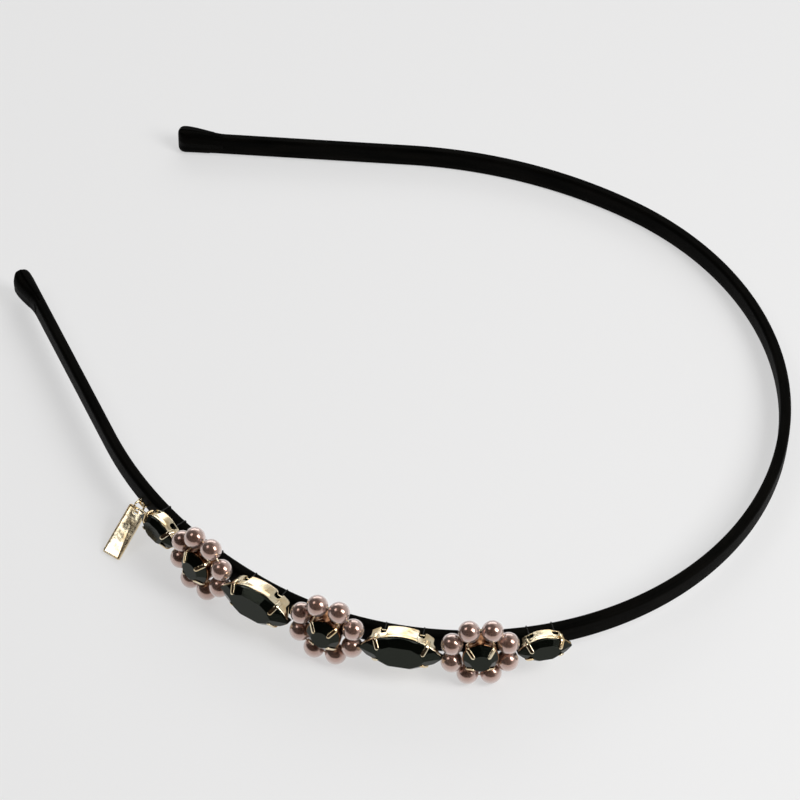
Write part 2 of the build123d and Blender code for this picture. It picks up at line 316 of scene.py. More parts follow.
def thread_finish():
    """Twisted black thread: plies that wind round it."""
    colours = settings("headband_colours")
    made, tree = material("black_thread")
    fuzz = tree.noise(tree.object_place(), 9000, 3)
    tree.finish(
        Base_Color=tree.mix(fuzz, opaque(colours.thread), (0.02, 0.02, 0.018, 1)),
        Roughness=0.62 + fuzz * 0.2,
        Specular_IOR_Level=0.3,
        Normal=tree.bump(fuzz, 0.4, 0.00004),
    )
    return made


def gold_finish(name, dents, shade="gold", hollow="gold_deep"):
    """Pale plating over stamped metal: slow dents, fine polishing grain, warmer where it is thin. With the flower
    cups' colours, both colours are painted shade and painted reflection of the pearls round the cups, mixed by the
    same slow noise.
    """
    colours = settings("headband_colours")
    made, tree = material(name)
    place = tree.object_place()
    slow = tree.noise(place, 420, 2)
    grain = tree.noise(tree.stretch(place, (1, 1, 5)), 3800, 3, 0.6)
    tint = tree.ramp(slow, [(0.42, (0, 0, 0)), (0.72, (1, 1, 1))])
    tree.finish(
        Base_Color=tree.mix(tint, opaque(getattr(colours, shade)), opaque(getattr(colours, hollow))),
        Metallic=1.0,
        Roughness=0.10 + grain * 0.12,
        Normal=tree.bump(slow + grain * 0.05, dents, 0.0004),
    )
    return made


def glass_finish():
    """Opaque black glass, polished, with faint cutting marks."""
    colours = settings("headband_colours")
    made, tree = material("black_glass")
    place = tree.object_place()
    marks = tree.noise(tree.stretch(place, (1, 1, 6)), 1500, 2)
    cloud = tree.noise(place, 300, 2)
    tree.finish(
        Base_Color=tree.mix(cloud, opaque(colours.glass), (0.003, 0.004, 0.003, 1)),
        Roughness=0.05 + marks * 0.07,
        IOR=1.36,
        Specular_Tint=(0.85, 0.95, 0.75, 1),
        Normal=tree.bump(marks, 0.06, 0.0001),
    )
    return made


def pearl_finish():
    """Pearl coating: a mirror-like mauve lacquer over a warm bead, a little uneven, clear on top."""
    colours = settings("headband_colours")
    made, tree = material("mauve_pearl")
    place = tree.object_place()
    cloud = tree.noise(place, 380, 3)
    grain = tree.noise(place, 5200, 3)
    facing = tree.add("ShaderNodeLayerWeight", None, {"Blend": 0.58}, out="Facing")
    body = tree.mix(cloud, opaque(colours.pearl), opaque(colours.pearl_warm))
    tree.finish(
        Base_Color=tree.mix(facing, body, opaque(colours.pearl_rim)),
        Metallic=0.74,
        Roughness=0.15 + grain * 0.07,
        Coat_Weight=0.5,
        Coat_Roughness=0.05,
        Normal=tree.bump(grain, 0.05, 0.00008),
    )
    return made


def steel_finish():
    """Plain spring steel, hidden inside the ribbon."""
    made, tree = material("core_steel")
    grain = tree.noise(tree.object_place(), 2500, 2)
    tree.finish(Base_Color=(0.42, 0.42, 0.43, 1), Metallic=1.0, Roughness=0.3 + grain * 0.2)
    return made


def floor_finish():
    """Pale table and backdrop, lit partly from within so that shadows stay faint."""
    colours = settings("headband_colours")
    made, tree = material("pale_floor")
    tree.finish(
        Base_Color=opaque(colours.floor),
        Roughness=0.9,
        Specular_IOR_Level=0.0,
        Emission_Color=(1, 1, 1, 1),
        Emission_Strength=0.51,
    )
    return made


MAKERS = {
    "black_ribbon": satin_finish,
    "black_thread": thread_finish,
    "pale_gold": lambda: gold_finish("pale_gold", 0.25),
    "tag_gold": lambda: gold_finish("tag_gold", 0.22),
    # The flower cups' gold uses the two painted-shade colours, darker and browner than the plain gold, standing in
    # for shade and the pearls' reflection.
    "cup_gold_painted_shade": lambda: gold_finish("cup_gold_painted_shade", 0.5, "gold_painted_shade", "gold_painted_deep_shade"),
    "black_stone": glass_finish,
    "pearl": pearl_finish,
    "core_steel": steel_finish,
}
made_finishes = {}


def finish_for(name):
    """The finish of a material slot, made once."""
    if name not in made_finishes:
        made_finishes[name] = MAKERS[name]()
    return made_finishes[name]


# ---------------------------------------------------------------- surfaces


class Shell:
    """Gathers closed grids into one mesh."""

    def __init__(self):
        self.points = []
        self.faces = []
        self.places = []
        self.count = 0

    def add_points(self, points):
        self.points.append(points)
        self.count += len(points)

    def loft(self, grid, closed_rows=False, place=None):
        """A grid of rows of points, each row a closed loop. Rows close on each other, or both end rows
        get a middle point and a fan. Rows run along the piece and loops turn counter-clockwise as
        seen from the last row, so that faces point outwards."""
        rows, columns, _ = grid.shape
        start = self.count
        self.add_points(grid.reshape(-1, 3))
        if place is not None:
            self.places.append(place.reshape(-1, 2))
        r = np.arange(rows if closed_rows else rows - 1)
        c = np.arange(columns)
        low = r[:, None] * columns
        high = (r[:, None] + 1) % rows * columns
        after = (c + 1) % columns
        quads = np.stack([low + c, low + after, high + after, high + c], axis=-1).reshape(-1, 4)
        self.faces.extend((start + quads).tolist())
        if closed_rows:
            return
        for row, turned in ((0, True), (rows - 1, False)):
            hub = self.count
            self.add_points(grid[row].mean(axis=0)[None])
            if place is not None:
                self.places.append(place[row].mean(axis=0)[None])
            near = start + row * columns + c
            far = start + row * columns + after
            ends = (far, near) if turned else (near, far)
            fan = np.stack([*ends, np.full(columns, hub)], axis=-1)
            self.faces.extend(fan.tolist())

    def make(self, name, finish, map_name=None):
        """The mesh object, with smooth faces and, where given, its own map of places."""
        points = np.concatenate(self.points)
        mesh = bpy.data.meshes.new(name)
        mesh.from_pydata(points.tolist(), [], self.faces)
        mesh.polygons.foreach_set("use_smooth", np.ones(len(mesh.polygons), dtype=bool))
        if map_name:
            places = np.concatenate(self.places)
            corners = np.empty(len(mesh.loops), dtype=np.int32)
            mesh.loops.foreach_get("vertex_index", corners)
            layer = mesh.uv_layers.new(name=map_name)
            layer.data.foreach_set("uv", places[corners].ravel().astype(np.float32))
        mesh.materials.append(finish)
        mesh.update()
        made = bpy.data.objects.new(name, mesh)
        bpy.context.scene.collection.objects.link(made)
        return made


def place_piece(piece, body, slot_name, *replaced):
    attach(piece, body)
    if replaced:
        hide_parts(*replaced)


def unit(vectors):
    return vectors / np.linalg.norm(vectors, axis=-1, keepdims=True)


def smooth(value):
    """Zero below 0, one above 1, and an S curve between."""
    held = np.clip(value, 0, 1)
    return held * held * (3 - 2 * held)


def rounded_loop(width, height, radius, arc_steps=5, side_steps=1):
    """Closed outline of a rounded rectangle, counter-clockwise from the right side's foot: four
    quarter arcs, with the sides between them divided evenly. Returns (points, 2)."""
    pieces = []
    half = np.array([width / 2 - radius, height / 2 - radius])
    for k, (sign_x, sign_y) in enumerate(((1, -1), (1, 1), (-1, 1), (-1, -1))):
        turn = np.linspace(-np.pi / 2, 0, arc_steps + 1) + k * np.pi / 2
        arc = np.stack([np.cos(turn), np.sin(turn)], axis=-1) * radius + half * (sign_x, sign_y)
        pieces.append(arc)
    loop = []
    for k, arc in enumerate(pieces):
        loop.append(arc)
        ahead = pieces[(k + 1) % 4][0]
        share = np.arange(1, side_steps)[:, None] / side_steps
        loop.append(arc[-1] + (ahead - arc[-1]) * share)
    return np.concatenate(loop)


def rounded_polygon(corners, cut, arc_steps, side_steps):
    """Closed line through the corners' sides, with each corner replaced by a parabola that starts
    and ends a set length from it. Returns (points, 2)."""
    before = unit(np.roll(corners, 1, axis=0) - corners)
    after = unit(np.roll(corners, -1, axis=0) - corners)
    start = corners + before * cut
    stop = corners + after * cut
    bend = np.linspace(0, 1, arc_steps)[:, None]
    run = np.arange(1, side_steps)[:, None] / side_steps
    loop = []
    for k, corner in enumerate(corners):
        loop.append(start[k] * (1 - bend) ** 2 + 2 * bend * (1 - bend) * corner + stop[k] * bend ** 2)
        loop.append(stop[k] + (start[(k + 1) % len(corners)] - stop[k]) * run)
    return np.concatenate(loop)


def carried(path, section, side, normal=None):
    """A section's (x, y) carried along a path: x along the side vectors, y along the normals, which
    are the path's direction crossed with the side unless given. section is (points, 2), or
    (rows, points, 2) where it changes along the path."""
    if normal is None:
        normal = unit(np.cross(unit(np.gradient(path, axis=0)), side))
    section = np.broadcast_to(section, (len(path), *section.shape[-2:]))
    return path[:, None] + section[..., :1] * side[:, None] + section[..., 1:] * normal[:, None]


# ---------------------------------------------------------------- the band's own frame


def band_axes():
    """Rows are the band's own axes in the row frame, from the mount that states its plane."""
    up = unit(np.array(GRIP["axis"], dtype=float))
    to_tips = unit(np.array([0, up[2], -up[1]]))
    return np.stack([np.cross(to_tips, up), to_tips, up])


AXES = band_axes()
CROWN = np.array(GRIP["pos_m"], dtype=float)


def to_row(points):
    """Points in the band's own frame, moved to the row frame."""
    return points @ AXES + CROWN


def to_row_direction(directions):
    return directions @ AXES


def band_place(station, arm=LEFT_ARM):
    """Centreline points and outward directions at lengths from the crown's top, along one arm:
    a quarter circle, then an arc of larger radius, then a straight run."""
    band = settings("headband_band")
    station = np.atleast_1d(np.asarray(station, dtype=float))
    quarter = band.crown_radius * np.pi / 2
    side = band.side_radius * band.side_angle
    in_crown = station <= quarter
    turn = np.where(in_crown, station / band.crown_radius - np.pi / 2,
                    np.minimum((station - quarter) / band.side_radius, band.side_angle))
    nothing = np.zeros_like(turn)
    outward = np.stack([-np.cos(turn), np.sin(turn), nothing], axis=-1)
    along = np.stack([np.sin(turn), np.cos(turn), nothing], axis=-1)
    straight = np.maximum(station - quarter - side, 0)[:, None]
    middle = np.array([band.side_radius - band.crown_radius, 0, 0])
    flat = middle + outward * band.side_radius + along * straight
    point = np.where(in_crown[:, None], outward * band.crown_radius, flat)
    flip = np.array([arm, 1, 1])
    return point * flip, outward * flip


def half_length():
    band = settings("headband_band")
    return band.crown_radius * np.pi / 2 + band.side_radius * band.side_angle + band.arm_length


class Seat:
    """A place on the left arm: x towards the crown, z outward, y across the band."""

    def __init__(self, station, lean=0.0, rise=0.0):
        point, outward = band_place(station)
        up = np.array([0.0, 0.0, 1.0])
        towards = np.cross(up, outward[0])
        y = up * math.cos(lean) - outward[0] * math.sin(lean)
        z = outward[0] * math.cos(lean) + up * math.sin(lean)
        self.axes = np.stack([towards, y, z])
        self.origin = point[0] + up * rise

    def row(self, points):
        """Points in the seat's frame, moved to the row frame."""
        return to_row(points @ self.axes + self.origin)


def ornament_seat(station):
    sizes = settings("headband_ornaments")
    return Seat(station, sizes.lean, sizes.rise)


def flower_stations():
    sizes = settings("headband_ornaments")
    return [sizes.middle_flower + sizes.pitch * k for k in (1, 0, -1)]


PEARLS_IN_FLOWER = 8
# Places along a pointed stone, as shares of its length from its middle.
CLAW_PLACE = 0.31
THREAD_PLACE = 0.23
FLOOR_END = 0.37
RIM_END = 0.475
FLOWER_THREAD_X = 1.5 * MM
FLOWER_NOTCH_TALL = 1.3 * MM
NOTCH_HALF = 0.65 * MM
NAVETTE_CLAW_SLOPE = math.radians(40)
ROUND_CLAW_SLOPE = math.radians(42)
LARGE = {"length": 15 * MM, "width": 7 * MM, "girdle": 4.4 * MM}
SMALL = {"length": 10 * MM, "width": 5 * MM, "girdle": 3.7 * MM}


def navettes():
    """Station and size of each pointed stone, from the tip's side to the crown's."""
    sizes = settings("headband_ornaments")
    first, _, last = flower_stations()
    return [
        (first + sizes.end_offset, SMALL),
        (sizes.middle_flower + sizes.pitch / 2, LARGE),
        (sizes.middle_flower - sizes.pitch / 2, LARGE),
        (last - sizes.end_offset, SMALL),
    ]


# ---------------------------------------------------------------- ribbon


def ribbon_piece():
    """The wrapped band: a rounded rectangle carried along the centreline from tip to tip. The outer
    face is slightly crowned, the inner one has a lengthwise lap, a smooth step of the ribbon's
    thickness, and both breathe a little with slow sines of the station."""
    band = settings("headband_band")
    reach = half_length() - 2.5 * MM
    count = 641
    station = np.linspace(-reach, reach, count)
    right_point, right_out = band_place(-station, RIGHT_ARM)
    left_point, left_out = band_place(station, LEFT_ARM)
    on_left = (station > 0)[:, None]
    point = np.where(on_left, left_point, right_point)
    outward = np.where(on_left, left_out, right_out)
    loop = rounded_loop(band.thickness - 2 * band.ribbon, band.width, band.edge, 6, 12)
    x, y = loop[:, 0], loop[:, 1]
    face = np.clip(1 - (2 * y / band.width) ** 2, 0, 1)
    crowned = np.where(x > 0, face * 0.5 * band.ribbon, 0)
    lap = smooth((y + 0.25 * band.width) / (0.1 * MM)) * band.ribbon
    lapped = np.where(x < 0, -lap * smooth(-x / (0.4 * MM)), 0)
    slow = np.sin(station / (7.1 * MM)) * 0.5 + np.sin(station / (17.3 * MM) + 1.3) * 0.5
    breathing = slow[:, None] * np.where(x > 0, face, 0) * 0.025 * MM
    section = np.empty((count, len(loop), 2))
    section[..., 0] = x + crowned + lapped + breathing
    section[..., 1] = y + np.sin(station / (23 * MM))[:, None] * 0.02 * MM
    across = np.broadcast_to(np.array([0.0, 0.0, 1.0]), point.shape)
    grid = to_row(carried(point, section, outward, across))
    around = np.concatenate([[0], np.cumsum(np.linalg.norm(np.diff(loop, axis=0), axis=1))])
    place = np.stack(np.broadcast_arrays(station[:, None], around[None]), axis=-1) / MM
    shell = Shell()
    shell.loft(grid[:, ::-1], place=place[:, ::-1])
    return shell.make("satin_ribbon", finish_for("black_ribbon"), "ribbon")


def quarter_round(distance, radius):
    """Share of the full size at a distance from an end that closes in a quarter circle."""
    return np.sqrt(np.clip(1 - np.clip(1 - distance / radius, 0, 1) ** 2, 0, 1))


def tip_piece(arm, name):
    """Ribbon folded over one end of the strip: a rounded rectangle carried along the arm. It starts
    as the band's own section, swells outward in an S curve and sideways in a straight taper, and
    closes in quarter circles at the end. The fold shows as a slanting step across, and the gathered
    end as a few shallow pleats."""
    band = settings("headband_band")
    share = np.linspace(0, 1, 120)
    distance = band.tip_length * share ** 1.7 + 0.02 * MM
    point, outward = band_place(half_length() - distance, arm)
    proud = 0.03 * MM
    inner = -band.thickness / 2 - proud
    mouth = band.thickness / 2 + proud + 0.5 * band.ribbon
    crest = 2 * band.tip_radius - band.thickness / 2
    left = 1 - distance / band.tip_length
    swollen = smooth(left / (1 - band.tip_radius / band.tip_length))
    outer = mouth + (crest - mouth) * swollen
    middle = (inner + outer) / 2
    high = (outer - inner) / 2 * quarter_round(distance, band.tip_radius)
    wide = band.width / 2 + proud + (band.tip_width - band.width) / 2 * left
    wide -= band.tip_corner * (1 - quarter_round(distance, band.tip_corner))
    loop = rounded_loop(2, 2, 1, 14, 1)
    power = 0.62
    loop = np.sign(loop) * np.abs(loop) ** power
    turn = np.arctan2(loop[:, 1], loop[:, 0])
    pleat = 1 + 0.03 * np.exp(-distance / (1.6 * MM))[:, None] * np.sin(9 * turn)
    fold_line = band.tip_length - 2.2 * MM + 0.5 * MM * loop[:, 1]
    fold = smooth((fold_line - distance[:, None]) / (0.5 * MM)) * 0.6 * band.ribbon
    closing = quarter_round(distance, band.tip_radius)[:, None]
    section = np.empty((len(share), len(loop), 2))
    section[..., 0] = middle[:, None] + loop[:, 0] * (high[:, None] + fold * closing) * pleat
    section[..., 1] = loop[:, 1] * (wide[:, None] + fold * closing) * pleat
    across = np.broadcast_to(np.array([0.0, 0.0, 1.0]), point.shape)
    grid = to_row(carried(point, section, outward, across))
    around = np.concatenate([[0], np.cumsum(np.linalg.norm(np.diff(loop, axis=0), axis=1))])
    place = np.stack(np.broadcast_arrays(distance[:, None] / MM, around[None] * 2), axis=-1)
    shell = Shell()
    if arm == RIGHT_ARM:
        grid, place = grid[:, ::-1], place[:, ::-1]
    shell.loft(grid, place=place)
    return shell.make(name, finish_for("black_ribbon"), "ribbon")


# ---------------------------------------------------------------- pearls


def pearl_piece(number, k):
    """A drilled pearl: a half-plane outline turned about the bore. The outline is the sphere's arc
    from one mouth to the other, drawn in slightly at the mouths, and the bore's wall back again."""
    sizes = settings("headband_ornaments")
    seat = ornament_seat(flower_stations()[number - 1])
    angle = TAU * (k + 0.5) / PEARLS_IN_FLOWER
    radius, bore = sizes.pearl_radius, sizes.bore_radius
    mouth = math.asin(bore / radius)
    polar = np.linspace(mouth, np.pi - mouth, 41)
    dip = 1 - 0.02 * np.exp(-(np.sin(polar) / 0.22) ** 2)
    outline = np.stack([np.sin(polar), np.cos(polar)], axis=-1) * (radius * dip)[:, None]
    outline[[0, -1], 0] = bore
    wall_height = np.linspace(-0.8, 0.8, 5)[:, None] * radius
    wall = np.concatenate([np.full((5, 1), bore), wall_height], axis=1)
    outline = np.concatenate([outline, wall])
    turn = np.linspace(0, TAU, 56, endpoint=False)
    spread = np.array([math.cos(angle), math.sin(angle), 0])
    axis = np.array([-math.sin(angle), math.cos(angle), 0])
    up = np.array([0, 0, 1.0])
    radial = np.cos(turn)[:, None] * spread + np.sin(turn)[:, None] * up
    middle = spread * sizes.ring_radius + up * sizes.pearl_height
    grid = middle + outline[None, :, :1] * radial[:, None] + outline[None, :, 1:] * axis
    shell = Shell()
    shell.loft(seat.row(grid), closed_rows=True)
    return shell.make(f"mauve_pearl_{number}_{k + 1}", finish_for("pearl"))


def bead_wire_piece(number):
    """The wire through a flower's pearls: a circle carried round a circle."""
    sizes = settings("headband_ornaments")
    seat = ornament_seat(flower_stations()[number - 1])
    turn = np.linspace(0, TAU, 128, endpoint=False)
    spread = np.stack([np.cos(turn), np.sin(turn), np.zeros_like(turn)], axis=-1)
    around = np.linspace(0, TAU, 10, endpoint=False)
    circle = np.stack([np.cos(around), np.sin(around)], axis=-1) * sizes.wire_radius
    path = spread * sizes.ring_radius + np.array([0, 0, sizes.pearl_height])
    up = np.broadcast_to(np.array([0.0, 0.0, 1.0]), path.shape)
    shell = Shell()
    shell.loft(seat.row(carried(path, circle, spread, up))[:, ::-1], closed_rows=True)
    return shell.make(f"gold_bead_wire_{number}", finish_for("pale_gold"))


# ---------------------------------------------------------------- settings


def notch_height(x, notch_x, half_width, height):
    """Height of an arched opening over the floor: a fourth-power arch at x and at -x."""
    share = np.clip(np.abs(np.abs(x) - notch_x) / half_width, 0, 1)
    return height * (1 - share ** 4) ** 0.25


def wall_section(metal, steps=16):
    """The wall's cross-section as (outward, share of height), a rounded strip of unit height."""
    loop = rounded_loop(metal, 1, metal * 0.45, 4, steps)
    return loop[:, 0] - metal / 2, loop[:, 1] + 0.5


def flare(share, amount):
    """Outward lean of a wall near its rim."""
    return amount * smooth((share - 0.62) / 0.3)


def claw_grid(reach, slope, width, metal):
    """A folded claw in its own plane, x outward from the girdle's edge: a rounded strip carried up
    the wall, round the girdle and down the stone's slope; it narrows to a round end."""
    stand = 0.30 * MM
    lift = 0.42 * MM
    foot = -1.1 * MM
    knee = lift - stand * math.tan(slope) + 0.1 * MM
    end_x = -reach
    end_z = lift + reach * math.tan(slope)
    corners = np.array([[stand, foot], [stand, knee], [end_x, end_z]])
    bend = 0.42 * MM
    rise = unit(corners[1] - corners[0])
    fall = unit(corners[2] - corners[1])
    share = np.linspace(0, 1, 12)[:, None]
    start = corners[1] - rise * bend
    stop = corners[1] + fall * bend
    curve = start * (1 - share) ** 2 + 2 * share * (1 - share) * corners[1] + stop * share ** 2
    below = corners[0] + (start - corners[0]) * np.linspace(0, 1, 6)[:-1, None]
    run = np.linspace(0, 1, 22)[1:, None]
    above = stop + (corners[2] - stop) * (1 - (1 - run) ** 1.6)
    flat = np.concatenate([below, curve, above])
    path = np.stack([flat[:, 0], np.zeros(len(flat)), flat[:, 1]], axis=-1)
    travel = np.concatenate([[0], np.cumsum(np.linalg.norm(np.diff(path, axis=0), axis=1))])
    left = travel[-1] - travel
    round_end = np.sqrt(np.clip(1 - np.clip(1 - left / (width / 2), 0, 1) ** 2, 0.004, 1))
    loop = rounded_loop(2, 2, 0.85, 5, 2)
    section = np.empty((len(path), len(loop), 2))
    hollow = 1 - 0.28 * np.exp(-(loop[:, 0] / 0.45) ** 2) * (loop[:, 1] > 0.5)
    section[..., 0] = loop[:, 0] * round_end[:, None] * width / 2
    section[..., 1] = loop[:, 1] * hollow * metal / 2 * np.maximum(round_end, 0.35)[:, None]
    side = np.broadcast_to(np.array([0.0, 1.0, 0.0]), path.shape)
    return carried(path, section, side)


def turned(grid, angle, shift):
    """A grid turned about z, then shifted."""
    c, s = math.cos(angle), math.sin(angle)
    turn = np.array([[c, s, 0], [-s, c, 0], [0, 0, 1]])
    return grid @ turn + np.array(shift)


def navette_setting_piece(number, station, size):
    """Claw cup of a pointed stone. Each long wall follows the stone's arc, reaches further out at
    the rim than at its foot, and has two arched thread openings; a floor joins them under the
    stone and four claws fold over it."""
    sizes = settings("headband_ornaments")
    seat = ornament_seat(station)
    long, wide, girdle = size["length"], size["width"], size["girdle"]
    arc = (long ** 2 + wide ** 2) / (4 * wide)
    drop = arc - wide / 2
    height = girdle + 0.05 * MM - sizes.seat
    notch_x = THREAD_PLACE * long
    notch_tall = 0.52 * height
    foot_end = math.asin(FLOOR_END * long / arc)
    rim_end = math.asin(RIM_END * long / arc)
    out, share = wall_section(sizes.metal)
    reach = foot_end + (rim_end - foot_end) * smooth((share - 0.45) / 0.5)
    t = np.linspace(-1, 1, 181)[:, None]
    turn = t * reach[None]
    x_mid = arc * np.sin(turn)
    low = notch_height(x_mid, notch_x, NOTCH_HALF, notch_tall)
    z = sizes.seat + low + (height - low) * share
    stand = arc + out + flare(share, 0.12 * MM)
    shell = Shell()
    for side_y in (1, -1):
        wall = np.stack([stand * np.sin(turn), (stand * np.cos(turn) - drop) * side_y, z], axis=-1)
        shell.loft(seat.row(wall if side_y < 0 else wall[:, ::-1]))
    x = np.linspace(-FLOOR_END, FLOOR_END, 121) * long
    edge = np.sqrt(arc ** 2 - x ** 2) - drop - 0.1 * MM
    notched = smooth((np.abs(np.abs(x) - notch_x) - NOTCH_HALF * 0.7) / (0.3 * MM))
    edge = np.minimum(edge, 2.15 * MM + notched * 2 * MM)
    loop = rounded_loop(2, 2, 0.12, 3, 3)
    across = loop[:, 0] * edge[:, None]
    section = np.stack(np.broadcast_arrays(across, loop[:, 1] * sizes.metal / 2), axis=-1)
    path = np.stack([x, np.zeros_like(x), np.full_like(x, sizes.seat + sizes.metal / 2)], axis=-1)
    side = np.broadcast_to(np.array([0.0, 1.0, 0.0]), path.shape)
    up = np.broadcast_to(np.array([0.0, 0.0, 1.0]), path.shape)
    shell.loft(seat.row(carried(path, section, side, up)))
    claw_x = CLAW_PLACE * long
    lean = math.asin(claw_x / arc)
    claw_y = arc * math.cos(lean) - drop
    reach_in = sizes.claw_reach * (0.6 + 0.4 * wide / LARGE["width"])
    blade = claw_grid(reach_in, NAVETTE_CLAW_SLOPE, sizes.claw_width, sizes.metal)
    for side_x in (1, -1):
        for side_y in (1, -1):
            angle = math.atan2(side_y * math.cos(lean), side_x * math.sin(lean))
            spot = (side_x * claw_x, side_y * claw_y, girdle)
            shell.loft(seat.row(turned(blade, angle, spot)))
    return shell.make(f"gold_navette_cup_{number}", finish_for("pale_gold"))


def round_setting_piece(number):
    """Round cup without its claws: a turned wall with four thread openings, and a floor."""
    sizes = settings("headband_ornaments")
    seat = ornament_seat(flower_stations()[number - 1])
    height = sizes.round_girdle + 0.05 * MM - sizes.seat
    out, share = wall_section(sizes.metal)
    turn = np.linspace(0, TAU, 200, endpoint=False)[:, None]
    stand = sizes.round_radius + out + flare(share, 0.12 * MM)
    x_mid = sizes.round_radius * np.cos(turn)
    low = notch_height(x_mid, FLOWER_THREAD_X, NOTCH_HALF, FLOWER_NOTCH_TALL) * np.ones_like(share)
    z = sizes.seat + low + (height - low) * share
    wall = np.stack([stand * np.cos(turn), stand * np.sin(turn), z], axis=-1)
    shell = Shell()
    shell.loft(seat.row(wall), closed_rows=True)
    half = sizes.metal / 2
    radius = sizes.round_radius - sizes.metal
    disc_out = np.array([0.15, 1, 1, 0.15]) * radius
    disc_up = np.array([-half, -half, half, half])
    turn = turn[::4]
    disc_height = disc_up + sizes.seat + half
    disc = np.broadcast_arrays(disc_out * np.cos(turn), disc_out * np.sin(turn), disc_height)
    shell.loft(seat.row(np.stack(disc, axis=-1)), closed_rows=True)
    # The cup gets the gold with painted shade, darker than the claws' plain gold.
    return shell.make(f"gold_flower_cup_{number}", finish_for("cup_gold_painted_shade"))


def round_claws_piece(number):
    """The round cup's four claws, which stand between the pearls and fold over the stone."""
    sizes = settings("headband_ornaments")
    seat = ornament_seat(flower_stations()[number - 1])
    shell = Shell()
    blade = claw_grid(sizes.claw_reach, ROUND_CLAW_SLOPE, sizes.claw_width, sizes.metal)
    for k in range(4):
        way = math.radians(45 + 90 * k)
        radius = sizes.round_radius
        spot = (radius * math.cos(way), radius * math.sin(way), sizes.round_girdle)
        shell.loft(seat.row(turned(blade, way, spot)))
    return shell.make(f"gold_flower_claws_{number}", finish_for("pale_gold"))


# ---------------------------------------------------------------- thread


def thread_pieces(name, station, thread_x):
    """Two loops of thread round band and cup floor: the path follows the band's sides and back and
    crosses the floor, pressed a little into the ribbon, with rounded corners; the section has a
    radius that swells three times round and winds along it, as twisted plies do."""
    sizes = settings("headband_ornaments")
    band = settings("headband_band")
    seat = ornament_seat(station)
    clear = sizes.thread_radius - sizes.thread_sunk
    top = sizes.seat + sizes.metal + sizes.thread_radius + 0.04 * MM
    across = np.array([-1, 1]) * (band.width / 2 + clear) - sizes.rise
    behind = -band.thickness / 2 - clear
    c, s = math.cos(sizes.lean), math.sin(sizes.lean)
    feet = np.stack([across * c - behind * s, across * s + behind * c], axis=-1)
    heads = np.stack([(across - top * s) / c, np.full(2, top)], axis=-1)
    corners = np.concatenate([feet, heads[::-1]])
    outline = rounded_polygon(corners, 0.4 * MM, 7, 18)
    steps = np.linalg.norm(np.roll(outline, -1, axis=0) - outline, axis=1)
    travel = np.concatenate([[0], np.cumsum(steps)[:-1]])
    whole = steps.sum()
    winds = round(whole / (1.1 * MM))
    around = np.linspace(0, TAU, 12, endpoint=False)
    twist = 3 * around[None] + TAU * winds * travel[:, None] / whole
    radius = sizes.thread_radius * (0.9 + 0.1 * np.cos(twist))
    section = np.stack([np.cos(around) * radius, np.sin(around) * radius], axis=-1)
    shell = Shell()
    for x in (-thread_x, thread_x):
        path = np.stack([np.full(len(outline), x), outline[:, 0], outline[:, 1]], axis=-1)
        ahead = unit(np.roll(path, -1, axis=0) - np.roll(path, 1, axis=0))
        side = np.broadcast_to(np.array([1.0, 0.0, 0.0]), path.shape)
        grid = carried(path, section, side, np.cross(ahead, side))
        shell.loft(seat.row(grid)[:, ::-1], closed_rows=True)
    return shell.make(name, finish_for("black_thread"))


# ---------------------------------------------------------------- tag


def tag_frame():
    """Hole's middle and the tag's axes: along it from the hole, across it, and out of its face, from
    the joint that the tag turns on and the tag's own box."""
    joint = next(j for j in frame["joints"] if j["name"] == "tag_swing")
    hole = np.array(joint["pos_m"])
    face = unit(np.array(joint["axis"], dtype=float))
    low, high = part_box("tag")
    middle = (np.array(low) + np.array(high)) / 2
    along = unit(middle - hole)
    return hole, along, np.cross(face, along), face


def rectangle_rays(turn, low, high, half, radius):
    """Where rays at these angles from the origin meet a rounded rectangle with x from low to high
    and y from -half to half: the larger of the two side distances, then drawn in at the corners."""
    c, s = np.cos(turn), np.sin(turn)
    middle = (low + high) / 2
    reach = np.linspace(0, math.hypot(max(high, -low), half) * 1.02, 900)[None]
    x, y = reach * c[:, None], reach * s[:, None]
    over_x = np.maximum(np.abs(x - middle) - ((high - low) / 2 - radius), 0)
    over_y = np.maximum(np.abs(y) - (half - radius), 0)
    inside = np.hypot(over_x, over_y) <= radius
    best = (inside * reach).max(axis=1)
    return np.stack([best * c, best * s], axis=-1)


